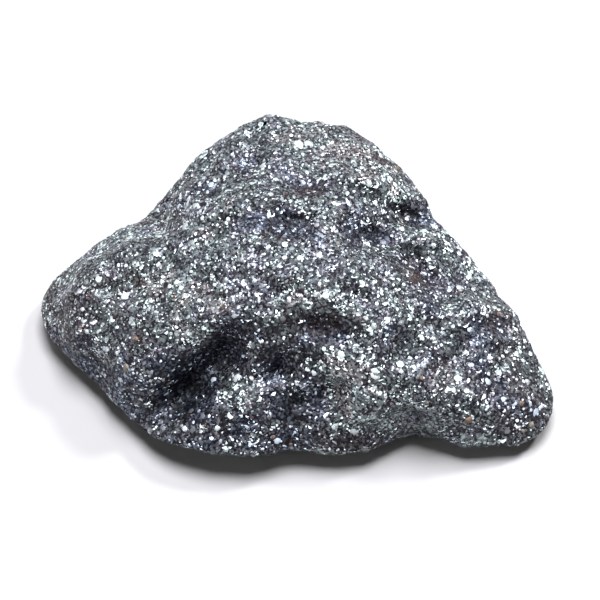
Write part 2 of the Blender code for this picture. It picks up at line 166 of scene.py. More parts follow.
CAP_CELLS, RINGS_ABOVE, RINGS_BELOW = 160, 60, 42
CAD_DIVISIONS = 32, 12, 8  # the CAD solid's, which place the origin
REACH_CROWDING = 1.6  # above 1, the crown's rings crowd towards the outline
CORNER_TURN = 0.1  # where the post's corners lie round the outline, in turns
FINE_LUMPS = [(1.5, 0.05, 11), (0.8, 0.04, 12)]  # as LUMPS and CHIPS
FINE_CHIPS = [(1.3, 0.10, 13), (0.7, 0.12, 14)]
SKIN_SINK = 0.10  # the skin lies this far inside the solid, under its flakes
FINE_TABLE = 48  # random values along each side of the finest noise's table

# ---- flakes and grains: millimetres, and shares of 1 ----

FLAKES_TRIED, FLAKE_SEED, FLAKE_PIECES = 56000, 21, 4
FLAKE_SHARE = 0.72  # chance that a flake tried on open skin is kept
FLAKE_PATCHES = [(7.0, 0.12, 31), (2.2, 0.38, 32), (1.0, 0.35, 33)]  # (size, swing of it, seed)
FLAKE_STREAK = np.array((0.65, 1.2, 1.2))  # stretches those patches along X
# Painted light and shade: where flakes crowd and shine as painted light (above 0), or are few and
# dull in darker mass as painted shade (below 0):
# (across, up, half length, half width, turn, amount)
PAINTED_LIGHTING = [
    # painted shade: the scoop and the hollows about the bench
    (-8.7, -7.0, 4.3, 2.5, 60, -0.45), (-13.2, -12.7, 5.0, 3.2, 35, -0.9),
    (-2.8, -9.6, 4.2, 1.8, 0, -0.75), (3.2, -5.8, 3.6, 2.0, -5, -1.0), (-5.7, -5.6, 3.0, 1.4, 0, -0.4),
    (0.4, -15.2, 4.0, 2.4, 0, -1.0), (-6.4, -16.9, 2.4, 1.2, 0, -0.7),
    (-13.5, -16.2, 2.8, 1.5, -20, -0.5), (-16.6, -10.0, 3.4, 1.8, 20, -0.5),
    # painted shade: the right-hand pockets, then the crown from left to right
    (14.2, 9.0, 2.6, 1.5, -20, -1.0), (9.5, 6.2, 3.6, 1.2, -8, -0.85), (14.9, 1.6, 2.8, 1.8, -50, -0.6),
    (-11.1, 11.6, 1.6, 1.4, 0, -0.5), (-5.8, 15.0, 1.8, 1.4, 0, -0.35), (-1.8, 7.6, 4.2, 2.2, 5, -0.95),
    (1.8, 11.9, 2.4, 0.9, 0, -0.35), (7.6, 12.3, 4.2, 0.8, -12, -0.5), (24.2, -4.9, 2.2, 1.2, 0, -0.5),
    (25.5, -12.7, 2.2, 1.1, 80, -0.5), (24.5, -8.5, 6.0, 4.5, -65, -0.35),
    (16.5, -1.5, 3.0, 2.0, -40, -0.25),
    # painted shade: the rims at the lower left, the front and the two tips
    (-23.4, -11.4, 9.0, 2.3, -36, -0.5), (0.5, -19.4, 13.0, 1.5, 0, -0.6),
    (-28.0, -4.6, 3.0, 3.0, 0, -0.15), (29.2, -16.2, 3.0, 2.0, 60, -0.4),
    # painted light
    (-6.2, -13.8, 2.8, 1.7, -25, 0.35), (6.2, -12.2, 4.2, 2.4, -85, 1.0),
    (10.5, -12.8, 4.0, 2.0, 0, 0.4), (1.7, 18.1, 7.0, 3.0, -5, 0.4), (-14.5, 1.0, 9.0, 5.0, 20, 0.3),
    (-10.5, 8.0, 6.0, 3.4, 45, 0.1), (7.0, 15.6, 5.5, 3.2, -30, 0.4), (2.0, -1.4, 4.0, 1.6, 0, 0.5),
    (11.1, 12.5, 3.5, 1.4, -35, 0.5), (-14.0, -5.6, 3.0, 1.8, 0, 0.7), (-11.4, 7.5, 3.0, 2.0, 40, 0.2),
    (-19.5, 7.1, 3.4, 1.2, 30, 0.4), (-0.7, -17.4, 5.0, 0.45, 0, 0.6), (-5.7, -19.0, 1.5, 0.5, 0, 0.5),
    (22.5, 0.5, 5.0, 1.0, -50, 0.3), (-3.2, 13.4, 1.6, 1.3, 0, 0.5), (-4.2, 6.0, 2.0, 1.3, 0, 0.5),
    (2.0, 8.4, 1.2, 1.0, 0, 0.3), (16.1, 5.9, 1.8, 1.6, 0, 0.5), (-19.5, -10.6, 1.6, 1.0, 0, 0.5),
    (-13.9, -0.6, 2.0, 2.0, 0, 0.35), (18.0, -6.9, 2.0, 1.5, 0, 0.3), (25.5, -10.4, 1.6, 1.1, 0, 0.5),
]
PAINTED_LIGHT_CROWD, PAINTED_LIGHT_SHINE = 0.50, 0.35  # what painted light of 1 adds to that chance, and to the shade; painted shade takes it away
PAINTED_LIGHTING_FADE = 3.0  # how soon the painted light and shade come in as the skin turns into sight
FLAKE_CLEAR = 0.7  # flakes and grains sit above this height over the table
SHARED_TILTS = [(3.0, 0.25, 41), (1.0, 0.40, 51)]  # (size, tilt, seed)
OWN_TILT, MOST_LEAN = 0.55, 1.05
UPRIGHT_PAINTED_SHADE = 0.7  # painted shade: share of its shade that a flake loses on an upright face
# Painted glints, the sparks: bright matt silver flakes that stand in for glints.  Their share on
# level skin and what an upright face adds, and how far they keep to the patches.  They are bigger,
# prouder and lie more level.
SPARK_SHARE, SPARK_STEEP = 0.012, 0.46
SPARK_CLUMPS, SPARK_CLUMP_LIMITS = 1.8, (0.2, 2)
SPARK_SIZE, SPARK_LIFT, SPARK_LEVEL = 1.3, 0.03, 1.3
FLAKE_RADIUS, FLAKE_SPREAD, FLAKE_LIMITS = 0.165, 0.58, (0.07, 0.48)
FLAKE_PROUD = (0.02, 0.06)  # how far a flake's highest edge stands over the skin
FLAKE_LEAN = 0.33  # share of its crystal's lean that a worn flake's plate keeps
FLAKE_DEPTH = 1.3  # of the point under the top, times the radius
FLAKE_SIDES, FLAKE_JITTER = 6, 0.22
FLAKE_REACH, FLAKE_NARROW = (0.8, 1.15), (0.7, 1.0)  # of its corners, and across, over its radius
FLAKE_DOME = 0.22  # lean of a flake's crystal at its rim, outwards
FLAKE_EDGE, SPARK_EDGE = 0.75, 0.84  # painted glint falloff, darker towards the rim: shade at a flake's rim, as a share of its middle's
MAP_SPLIT, MAP_GAP = 0.84, 0.02  # the skin's part of its map, and the gap below the foot's
CELL_RADIUS, CELL_TOP, CELL_UNDER = 0.21, (0.26, 0.5), (0.74, 0.5)  # in a flake's cell of the map

# (across, up, radius, shade, reach of the rust about it)
GRAINS = [
    (-23.5, -3.4, 0.28, 0.05, 0.3), (-20.1, -6.4, 0.35, 0.45, 1.0), (-22.4, -10.6, 0.55, 0.85, 0.3),
    (-15.5, 11.2, 0.30, 0.65, 0.4), (13.1, 14.9, 0.40, 0.65, 0.8), (25.7, -3.5, 0.40, 0.65, 0.6),
    (21.7, -18.1, 0.65, 0.62, 1.0), (30.1, -17.7, 0.40, 0.85, 0.6), (29.0, -14.5, 0.40, 0.70, 0.5),
    (1.6, 12.0, 0.25, 0.30, 0.8), (-9.4, -2.5, 0.25, 0.25, 1.2), (14.9, 1.2, 0.25, 0.30, 1.6),
]
MORE_GRAINS, MORE_RADII, GRAIN_SEED = 70, (0.12, 0.32), 61
GRAIN_ROWS, GRAIN_COLUMNS, GRAIN_ROUGH = 4, 8, 0.14
GRAIN_LEAST, GRAIN_MOST = (0.75, 0.75, 0.45), (1.1, 1.1, 0.6)  # its half sizes, over its radius
RUST_PATCHES = [(9.0, 0.55, 71), (3.5, 0.35, 72)]  # (size, share, seed)
RUST_FLOOR, GRAIN_RUST = 0.22, 0.9  # what the patches lose, and the rust at a grain
# Broad stains: (across, up, half length, half width, turn, share)
STAINS = [
    (-29.8, -3.2, 2.8, 5.0, 0, 0.35), (-23.0, -1.0, 6.0, 4.0, 20, 0.25),
    (8.2, 16.4, 3.0, 1.6, -20, 0.35), (15.4, 1.2, 2.6, 1.6, -30, 0.4), (28.5, -15.6, 4.0, 3.2, 60, 0.35),
    (3.4, -4.6, 3.0, 1.4, 0, 0.4), (-15.5, 7.8, 3.0, 1.5, 40, 0.3), (5.0, -19.6, 9.0, 1.2, 0, 0.3),
]

# ---- finishes: colours in linear light ----

MASS_FINENESS, MASS_TILT, MASS_METAL = 3600.0, 0.6, 0.6
MASS_COLOURS = [(0.0, (0.010, 0.008, 0.014)), (0.6, (0.056, 0.055, 0.074)), (1.0, (0.36, 0.39, 0.41))]
MASS_POLISH = (0.0, 1.0, 0.55, 0.3)  # from a shade to a shade, and the roughness at each
PAINTED_SHADE_LEVEL, PAINTED_LIGHT_LEVEL = 0.22, 1.6  # the mass's brightness in painted shade of -1 and in painted light of 1
# Flake colours by shade; the stop at 1 is the painted glints' bright silver
FLAKE_COLOURS = [
    (0.0, (0.047, 0.047, 0.066)), (0.32, (0.365, 0.393, 0.416)), (0.84, (0.64, 0.705, 0.73)),
    (1.0, (0.62, 0.70, 0.71)),
]
SPARK_FROM, SPARK_METAL = 0.84, 0.0  # the brightest shade of the other flakes; a painted glint's metal
FLAKE_POLISH = (0.1, 0.6, 0.6, 0.54)  # as MASS_POLISH
# Drifts of hue: how fine they are, how far painted light and shade lead them, and their share
# on the flakes
DRIFT_SCALE, DRIFT_PAINTED_LIGHTING, FLAKE_DRIFT = 260.0, 0.30, 0.65
DRIFT_COLOURS = [
    (0.30, (0.84, 0.93, 1.11)), (0.42, (1.0, 0.97, 1.02)), (0.50, (0.97, 1.02, 1.0)),
    (0.60, (0.92, 1.05, 1.0)), (0.72, (1.08, 1.0, 0.95)),
]
RUST_COLOUR, RUST_BREAKUP, RUST_BREAKS = (0.10, 0.055, 0.04), 1400.0, (0.3, 0.7)
GRAIN_COLOURS = [
    (0.0, (0.10, 0.02, 0.015)), (0.3, (0.11, 0.06, 0.04)), (0.45, (0.30, 0.20, 0.10)),
    (0.65, (0.27, 0.18, 0.15)), (0.85, (0.36, 0.33, 0.26)),
]
GRAIN_DULL, MOTTLE_SCALE, MOTTLE_SHARE = 0.75, 3500.0, 0.7
MOTTLE_FROM, MOTTLE_TO, MOTTLE_COLOUR = 0.35, 0.7, (0.03, 0.027, 0.025)

# ---- floor, light and camera: metres for the floor, millimetres for the camera ----

FLOOR_HALF, FLOOR_COLOUR, FLOOR_DULL = 3.0, (0.62, 0.62, 0.625), 0.9
# (name, bearing, height, width, strength, colour)
LIGHTS = [
    ("overhead", 80.0, 74.0, 32.0, 4.1, (1.0, 0.988, 1.025)),
    ("right", 40.0, 44.0, 10.0, 1.7, (1.0, 1.0, 1.0)),
    ("behind", 110.0, 28.0, 40.0, 0.4, (0.97, 0.98, 1.0)),
    ("left", 212.0, 20.0, 40.0, 0.3, (1.0, 0.98, 0.98)),
]
ROOM_COLOUR, ROOM_STRENGTH = (1.0, 0.92, 0.90), 0.045
PICTURE_WIDTH, CAMERA_DISTANCE = 75.0, 1200.0
PICTURE_CENTRE, AIM_HEIGHT = (0.5, -1.9), 9.0


# ---- the outline ----

def length(vectors):
    """Each vector's length."""
    return np.linalg.norm(vectors, axis=-1)


def closed_curve(points, steps):
    """A smooth closed curve through the points: a cubic for each span, whose slope at each
    point is half the step from the point before to the point after."""
    here = np.array(points, float)
    before, after, beyond = np.roll(here, 1, 0), np.roll(here, -1, 0), np.roll(here, -2, 0)
    t = (np.arange(steps) / steps)[:, None, None]
    spans = 0.5 * (
        2 * here
        + (after - before) * t
        + (2 * before - 5 * here + 4 * after - beyond) * t**2
        + (3 * here - before - 3 * after + beyond) * t**3
    )
    curve = spans.transpose(1, 0, 2).reshape(-1, here.shape[1])
    return np.vstack([curve, curve[:1]])


OUTLINE_CURVE = closed_curve(OUTLINE, steps=24)
OUTLINE_RUN = np.append(0.0, np.cumsum(length(np.diff(OUTLINE_CURVE, axis=0))))


def outline(turn):
    """The outline's (across, up) at a share of its whole length, from 0 to 1."""
    run = turn % 1.0 * OUTLINE_RUN[-1]
    return np.stack([np.interp(run, OUTLINE_RUN, line) for line in OUTLINE_CURVE.T], -1)


def calm_outline(turn):
    """The outline with its small bends and corners averaged out."""
    return sum(outline(turn + step) for step in FOOT_CALM) / len(FOOT_CALM)


def ease(share):
    """0 to 1, level at both ends."""
    return share * share * (3 - 2 * share)


def sides(turn):
    """Outline height, foot inset and squareness there, eased between the bearings of SIDES."""
    table = np.vstack([SIDES, np.add(SIDES[:1], (360.0, 0, 0, 0))])
    offset = outline(turn) - MIDDLE
    bearing = np.degrees(np.arctan2(offset[..., 1], offset[..., 0]))
    bearing = (bearing - table[0, 0]) % 360.0 + table[0, 0]
    before = np.searchsorted(table[:, 0], bearing, side="right") - 1
    before = np.clip(before, 0, len(table) - 2)
    first, last = table[before], table[before + 1]
    share = ease((bearing - first[..., 0]) / (last[..., 0] - first[..., 0]))[..., None]
    return np.moveaxis(first[..., 1:] * (1 - share) + last[..., 1:] * share, -1, 0)


# ---- the crown ----

def spot_distance(places, spots):
    """Distance from each place to each spot, rounded off within SPOT_SOFTNESS."""
    gap = places[:, None, :] - spots[None, :, :2]
    return np.sqrt((gap**2).sum(-1) + SPOT_SOFTNESS**2)


def all_spots():
    """SPOT_HEIGHTS, and a row of spots just inside the outline that hold the shoulder up."""
    turn = np.arange(SHOULDER_SPOTS) / SHOULDER_SPOTS
    place = MIDDLE + (outline(turn) - MIDDLE) * SHOULDER_REACH
    return np.vstack([SPOT_HEIGHTS, np.column_stack([place, sides(turn)[0] + SHOULDER])])


SPOTS = all_spots()
SPOT_LEVEL = SPOTS[:, 2].mean()
SPOT_WEIGHTS = np.linalg.solve(spot_distance(SPOTS[:, :2], SPOTS), SPOTS[:, 2] - SPOT_LEVEL)


def hollow(places, across, up, half_length, half_width, turn, depth):
    """An oval dip with its long way turned from +across."""
    x, y = (places - (across, up)).T
    cos, sin = math.cos(math.radians(turn)), math.sin(math.radians(turn))
    along, aside = (x * cos + y * sin) / half_length, (y * cos - x * sin) / half_width
    return -depth * np.exp(-((along**2 + aside**2) ** HOLLOW_SQUARENESS))


def ridge(places, start, end, half_width, height):
    """A low rounded ridge along the straight line from start to end."""
    run = np.subtract(end, start)
    share = np.clip((places - start) @ run / (run @ run), 0, 1)
    away = places - start - share[..., None] * run
    return height * np.exp(-(away**2).sum(-1) / half_width**2)


def crown_height(places):
    """Height above the table of the crown's smooth surface at each (across, up)."""
    flat = places.reshape(-1, 2)
    height = SPOT_LEVEL + spot_distance(flat, SPOTS) @ SPOT_WEIGHTS
    for dip in HOLLOWS:
        height += hollow(flat, *dip)
    for rise in RIDGES:
        height += ridge(flat, *rise)
    return height.reshape(places.shape[:-1])


# ---- relief over the whole stone ----

def lattice_noise(points, size, seed, table=LATTICE):
    """Smooth noise from -1 to 1: random values at the corners of cubes, eased between them."""
    corners = np.random.default_rng(seed).uniform(-1, 1, (table,) * 3)
    cell = np.floor(points / size)
    share = ease(points / size - cell)
    total = np.zeros(len(points))
    for corner in itertools.product((0, 1), repeat=3):
        weight = np.prod(np.where(corner, share, 1 - share), axis=-1)
        x, y, z = (cell + corner).astype(int).T % table
        total += weight * corners[x, y, z]
    return total


def chips(points, size, tilt, seed, table=LATTICE):
    """Broken facets: each centre of a jittered net of cubes has its own tilt, and a point takes
    the tilts of the centres about it, the nearest one by far the most."""
    random = np.random.default_rng(seed)
    jitter = random.uniform(*CHIP_JITTER, (table, table, table, 3))
    slope = random.uniform(-tilt, tilt, (table, table, table, 3))
    grid = points / size
    cell = np.floor(grid)
    total, weights = np.zeros(len(points)), np.zeros(len(points))
    for near in itertools.product((-1, 0, 1), repeat=3):
        x, y, z = (cell + near).astype(int).T % table
        away = grid - (cell + near + jitter[x, y, z])
        weight = np.exp(-CHIP_CRISPNESS * (away**2).sum(-1))
        total += weight * (away * slope[x, y, z]).sum(-1) * size
        weights += weight
    return total / weights


def layered(points, layers, table=LATTICE):
    """Smooth noises added up, each given as (size, amount, seed)."""
    return sum(amount * lattice_noise(points, size, seed, table) for size, amount, seed in layers)


def chipped(points, layers, table=LATTICE):
    """Nets of broken facets added up, each given as (size, steepest tilt, seed)."""
    return sum(chips(points, size, tilt, seed, table) for size, tilt, seed in layers)


def unit(vectors):
    """Each vector over its own length."""
    return vectors / length(vectors)[..., None]


def roughened(points, share, fine):
    """The smooth stone's points, moved out or in by lumps and chips; share is the part of the
    relief that each point takes.  On the table the surface is never lifted."""
    outward = unit((points - RELIEF_CORE) / RELIEF_RADII**2)
    outward[:, 2] *= np.clip(points[:, 2] / TABLE_FADE, 0, 1)
    relief = (layered(points, LUMPS) + chipped(points, CHIPS)) * share
    if fine:
        relief -= SKIN_SINK
        relief += layered(points, FINE_LUMPS, FINE_TABLE)
        relief += chipped(points, FINE_CHIPS, FINE_TABLE)
    return points + outward * relief[:, None]


# ---- the whole surface ----

def from_plane(place, height):
    """The world point over (across, up) of the tipped plane that is this high."""
    across, up = place[..., 0], place[..., 1]
    return np.stack([across, (up - height * COS) / SIN, height], -1)


def crown_point(reach, turn):
    """Above the outline: reach runs from 0 at MIDDLE to 1 at the outline, where the crown
    turns over along a superellipse and drops to the outline's height."""
    edge_height, _, squareness = sides(turn)
    place = MIDDLE + (outline(turn) - MIDDLE) * reach[..., None]
    stand = (1 - reach**squareness) ** (1 / squareness)
    return from_plane(place, edge_height + (crown_height(place) - edge_height) * stand)


def side_point(drop, turn):
    """Below the outline: drop runs from 0 at the outline to 1 at the foot, down a Bezier
    curve that leaves the crown without a crease and arrives at the table leaning outwards."""
    edge_height, inset, _ = sides(turn)
    top = from_plane(outline(turn), edge_height)
    level = np.array((1.0, 1.0, 0.0))
    foot = from_plane(calm_outline(turn), edge_height) * level
    height, inwards = edge_height[..., None], unit(np.append(FOOT_MIDDLE, 0.0) - foot)
    foot += inwards * inset[..., None]
    leave = top - TO_EYE * SIDE_LEAVE * height
    arrive = foot + ((1 - level) * height - inwards * inset[..., None]) * SIDE_ARRIVE
    t = drop[..., None]
    upper = top * (1 - t) ** 3 + 3 * leave * (1 - t) ** 2 * t
    return upper + 3 * arrive * (1 - t) * t**2 + foot * t**3


# ---- meshes ----

def in_scene(name, data):
    """A new object in the scene."""
    made = bpy.data.objects.new(name, data)
    bpy.context.scene.collection.objects.link(made)
    return made


def piece(name, points, faces, finish, layout=None, smooth=False, shades=()):
    """A new piece from the stone's points, held in the CAD solid's box, and an array of faces'
    corners for each number of corners.  layout is each corner's place on the bake's map, and
    shades are (name, value at each point)."""
    mesh = bpy.data.meshes.new(name)
    counts = np.concatenate([np.full(len(each), each.shape[1]) for each in faces])
    corners = np.concatenate([each.ravel() for each in faces])
    mesh.vertices.add(len(points))
    placed = np.clip(points - CENTRE, *np.array(CAD_BOX) / MM) * MM
    mesh.vertices.foreach_set("co", placed.astype(np.float32).ravel())
    mesh.loops.add(len(corners))
    mesh.loops.foreach_set("vertex_index", corners.astype(np.int32))
    mesh.polygons.add(len(counts))
    mesh.polygons.foreach_set("loop_start", (np.cumsum(counts) - counts).astype(np.int32))
    mesh.polygons.foreach_set("use_smooth", np.full(len(counts), smooth))
    if layout is not None:
        mesh.uv_layers.new(name="OFBake").uv.foreach_set("vector", layout.astype(np.float32).ravel())
    for shade, values in shades:
        flat = values.ndim == 1
        attribute = mesh.attributes.new(shade, "FLOAT" if flat else "FLOAT_VECTOR", "POINT")
        attribute.data.foreach_set("value" if flat else "vector", values.astype(np.float32).ravel())
    mesh.update(calc_edges=True)
    mesh.validate()
    mesh.materials.append(finish)
    made = in_scene(name, mesh)
    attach(made, "root")
    return made


# ---- the skin ----

def post_loop(cells):
    """The corners round a square of this many cells, anticlockwise from (+, -), as grid steps."""
    step, low, high = np.arange(cells), np.zeros(cells, int), np.full(cells, cells)
    across = np.concatenate([high, cells - step, low, step])
    return np.stack([across, np.concatenate([step, high, cells - step, low])], -1)


def post_points(cells, rings):
    """The post's points: the square top's grid, then its loop again one unit down for each ring."""
    line = np.arange(cells + 1) - cells / 2
    x, y = np.meshgrid(line, line, indexing="ij")
    top = np.stack([x.ravel(), y.ravel(), np.zeros(x.size)], -1)
    loop = post_loop(cells) - cells / 2
    depth = np.repeat(np.arange(1, rings + 1), len(loop))
    return np.vstack([top, np.column_stack([np.tile(loop, (rings, 1)), -depth])])


def post_faces(cells, rings):
    """Squares over the top and down the sides, and a fan of triangles across the foot.  The
    outline runs clockwise seen from above, so the corners do too."""
    number = np.arange((cells + 1) ** 2).reshape(cells + 1, cells + 1)
    top = np.stack([number[:-1, 1:], number[1:, 1:], number[1:, :-1], number[:-1, :-1]], -1)
    across, up = post_loop(cells).T
    first = number.size + np.arange(rings * 4 * cells).reshape(rings, 4 * cells)
    loops = np.vstack([number[across, up][None], first])
    after = np.roll(loops, -1, 1)
    down = np.stack([after[:-1], after[1:], loops[1:], loops[:-1]], -1)
    middle = np.full(4 * cells, number.size + first.size)
    foot = np.stack([loops[-1], after[-1], middle], -1)
    return np.vstack([top.reshape(-1, 4), down.reshape(-1, 4)]), foot


def short_split(points, squares):
    """Each square as two triangles, cut along its shorter diagonal."""
    first = length(points[squares[:, 0]] - points[squares[:, 2]])
    second = length(points[squares[:, 1]] - points[squares[:, 3]])
    turned = np.where((first > second)[:, None], np.roll(squares, -1, 1), squares)
    return np.vstack([turned[:, [0, 1, 2]], turned[:, [0, 2, 3]]])


def post_turn(x, y):
    """How far round the outline a place on the post lies, in turns: how far round its square
    ring it is, set on by CORNER_TURN."""
    ring = np.maximum(np.maximum(abs(x), abs(y)), 1e-9)
    on_right, on_back, on_left = x >= abs(y), y >= abs(x), -x >= abs(y)
    quarter = np.select([on_right, on_back, on_left], [y, -x, -y], x) / (8 * ring)
    return quarter + np.select([on_right, on_back, on_left], [0.0, 0.25, 0.5], 0.75) + CORNER_TURN


def stone_points(cells, above, below, fine):
    """The stone's point for each point of the post: square rings become the stone's rings."""
    post = post_points(cells, above + below)
    x, y, depth = post[:, 0], post[:, 1], -post[:, 2]
    turn = post_turn(x, y)
    rings = np.maximum(abs(x), abs(y)) + depth
    crown_rings = cells / 2 + above
    reach = 1 - np.clip(1 - rings / crown_rings, 0, 1) ** REACH_CROWDING
    drop = np.clip((rings - crown_rings) / below, 0, 1)
    under = (rings > crown_rings)[:, None]
    smooth = np.where(under, side_point(drop, turn), crown_point(reach, turn))
    from_outline = np.where(under[:, 0], drop / SIDE_CALM, (1 - reach) / OUTLINE_CALM)
    most = np.where(under[:, 0], SIDE_RELIEF, 1.0)
    share = OUTLINE_RELIEF + (most - OUTLINE_RELIEF) * ease(np.clip(from_outline, 0, 1))
    return roughened(smooth, share, fine)


coarse = stone_points(*CAD_DIVISIONS, fine=False)[:, :2]
CENTRE = np.append((coarse.min(0) + coarse.max(0)) / 2, 0.0)  # of the CAD solid's box


def skin_layout(cells, rings, triangles, foot, points):
    """The bake's map: the post's rings laid flat as squares inside squares, and the foot in a
    strip of its own above them."""
    post = post_points(cells, rings)
    reach = cells / 2 + rings
    flat = post[:, :2] * (1 - post[:, 2:] / (cells / 2))
    laid = (flat / reach + 1) / 2 * (1.0, MAP_SPLIT)
    under = points[foot.ravel(), :2] - points[foot.ravel(), :2].min(0)
    under = under / under.max(0) * (1.0, 1 - MAP_SPLIT - MAP_GAP) + (0.0, MAP_SPLIT + MAP_GAP)
    return np.vstack([laid[triangles.ravel()], under])


# ---- flakes and grains ----

def in_sight(points):
    """The (across, up) of each world point."""
    return np.stack([points[:, 0], points[:, 1] * SIN + points[:, 2] * COS], -1)


def painted_lighting_at(points, slopes):
    """Painted light and shade at each point, from -1 (painted shade) to 1 (painted light): how much
    flakes crowd and shine there, the sum of the painted ovals at its (across, up), fading out where
    the skin turns away below the outline."""
    painted_lighting = -sum(hollow(in_sight(points), *oval) for oval in PAINTED_LIGHTING)
    return np.clip(painted_lighting, -1, 1) * np.clip(slopes @ TO_EYE * PAINTED_LIGHTING_FADE, 0, 1)


def point_slopes(points, triangles):
    """Each point's outward normal: the sum of its triangles' slopes, made one long."""
    slopes = np.repeat(skin_slopes(points, triangles), 3, 0)
    total = [np.bincount(triangles.ravel(), axis, len(points)) for axis in slopes.T]
    return unit(np.stack(total, -1))


def skin_slopes(points, triangles):
    """Each triangle's outward normal, as long as twice its area."""
    a, b, c = points[triangles.T]
    return np.cross(b - a, c - a)


def skin_places(points, triangles, count, random):
    """Places spread evenly over the skin, with the skin's normal there: a triangle is drawn by
    its share of the whole area, then a point in it from two random shares folded at one half."""
    slopes = skin_slopes(points, triangles)
    area = length(slopes)
    drawn = np.searchsorted(np.cumsum(area) / area.sum(), random.random(count))
    share = random.random((count, 2))
    share = np.where(share.sum(-1)[:, None] > 1, 1 - share, share)
    a, b, c = points[triangles[drawn].T]
    return a + (b - a) * share[:, :1] + (c - a) * share[:, 1:], unit(slopes[drawn])


def grain_spots():
    """The world points of the smooth crown where GRAINS lie."""
    places = np.array(GRAINS)[:, :2]
    return from_plane(places, crown_height(places))


def rust_at(points):
    """How rusty the skin is at each point, 0 to 1: high near the grains, in the ovals of STAINS
    and in broad smooth patches."""
    rust = np.clip(-sum(hollow(in_sight(points), *oval) for oval in STAINS), 0, 1)
    for spot, (*_, radius, _, halo) in zip(grain_spots(), GRAINS):
        away = length(points - spot) / (radius + halo)
        rust = np.maximum(rust, GRAIN_RUST * np.exp(-(away**2)))
    broad = layered(points, RUST_PATCHES) - RUST_FLOOR
    return np.clip(rust + np.clip(broad, 0, 1), 0, 1)


def set_flakes(points, triangles):
    """Where each flake sits, its crystal's normal, its plate's normal, size, shade and painted light
    and shade.  Flakes crowd in patches and with the painted light, and thin out in painted shade;
    their shade takes the painted light and shade, and painted shade on upright faces.  A crystal's
    normal is the skin's, swung by noise that neighbours share and by a random lean of its own; the
    worn plate keeps only FLAKE_LEAN of that lean.  The painted glints, the sparks: bright matt
    flakes that have the shade 1 and lie more level."""
    random = np.random.default_rng(FLAKE_SEED)
    place, slope = skin_places(points, triangles, FLAKES_TRIED, random)
    patch = layered(place * FLAKE_STREAK, FLAKE_PATCHES)
    painted_lighting = painted_lighting_at(place, slope)
    kept = FLAKE_SHARE + patch + PAINTED_LIGHT_CROWD * painted_lighting
    keep = (random.random(len(place)) < kept) & (place[:, 2] > FLAKE_CLEAR)
    place, slope, painted_lighting, patch = place[keep], slope[keep], painted_lighting[keep], patch[keep]
    tilts = [[(size, tilt, seed + axis) for size, tilt, seed in SHARED_TILTS] for axis in range(3)]
    shared = np.stack([layered(place, each) for each in tilts], -1)
    lean = shared + random.normal(0, OWN_TILT, place.shape)
    lean *= np.minimum(1, MOST_LEAN / length(lean))[:, None]
    steep = 1 - slope[:, 2]
    # painted glints: bright matt flakes standing in for glints, more of them on upright faces
    glint_share = (SPARK_SHARE + SPARK_STEEP * steep) * np.sqrt(1 + painted_lighting)
    glint_share *= np.clip(1 + SPARK_CLUMPS * patch, *SPARK_CLUMP_LIMITS)
    spark = random.random(len(place)) < glint_share
    level = spark[:, None] * np.array((0.0, 0.0, SPARK_LEVEL))
    lean += level
    crystal, facing = unit(slope + lean + level), unit(slope + lean * FLAKE_LEAN)
    radius = FLAKE_RADIUS * np.exp(random.normal(0, FLAKE_SPREAD, len(place)))
    radius = np.clip(radius, *FLAKE_LIMITS) * np.where(spark, SPARK_SIZE, 1)
    lift = random.uniform(*FLAKE_PROUD, len(place)) + SPARK_LIFT * spark
    lift -= radius * length(np.cross(slope, facing))  # its edge is tipped up so far
    # the shade takes painted light and shade, then painted shade on upright faces; painted glints get 1
    shade = SPARK_FROM * np.clip(random.random(len(place)) + PAINTED_LIGHT_SHINE * painted_lighting, 0, 1)
    shade *= 1 - UPRIGHT_PAINTED_SHADE * steep
    shade[spark] = 1
    return place + slope * lift[:, None], crystal, facing, radius, shade, painted_lighting, random


def flake_points(place, facing, radius, random):
    """A six-sided plate on a sunken point: corners at jittered sixths of a turn on an oval, then
    the plate's middle, and the point under it."""
    count = len(place)
    aside = unit(np.cross(facing, unit(random.normal(0, 1, (count, 3)))))
    along = np.cross(facing, aside)
    sixth = np.arange(FLAKE_SIDES) + random.uniform(-FLAKE_JITTER, FLAKE_JITTER, (count, FLAKE_SIDES))
    angle = 2 * math.pi * sixth / FLAKE_SIDES
    reach = radius[:, None] * random.uniform(*FLAKE_REACH, (count, FLAKE_SIDES))
    narrow = reach * random.uniform(*FLAKE_NARROW, (count, 1))
    rim = place[:, None] + aside[:, None] * (reach * np.cos(angle))[..., None]
    rim += along[:, None] * (narrow * np.sin(angle))[..., None]
    root = place - facing * (radius * FLAKE_DEPTH)[:, None]
    return np.concatenate([rim, place[:, None], root[:, None]], 1)


def domed(corners, crystal, radius):
    """The crystal's normal at each of a flake's points: its own in the middle, and leaning out
    from the middle towards the rim."""
    outward = (corners - corners[:, FLAKE_SIDES:FLAKE_SIDES + 1]) / radius[:, None, None]
    outward[:, FLAKE_SIDES:] = 0
    return unit(crystal[:, None] + outward * FLAKE_DOME)


def flake_faces(count):
    """Triangles from each plate's middle to its sides, and from its sides down to its point."""
    start = np.arange(count)[:, None] * (FLAKE_SIDES + 2)
    rim = start + np.arange(FLAKE_SIDES)
    after = np.roll(rim, -1, 1)
    middle = np.broadcast_to(start + FLAKE_SIDES, rim.shape)
    top, under = np.stack([rim, after, middle], -1), np.stack([after, rim, middle + 1], -1)
    return (np.vstack([top.reshape(-1, 3), under.reshape(-1, 3)]),)


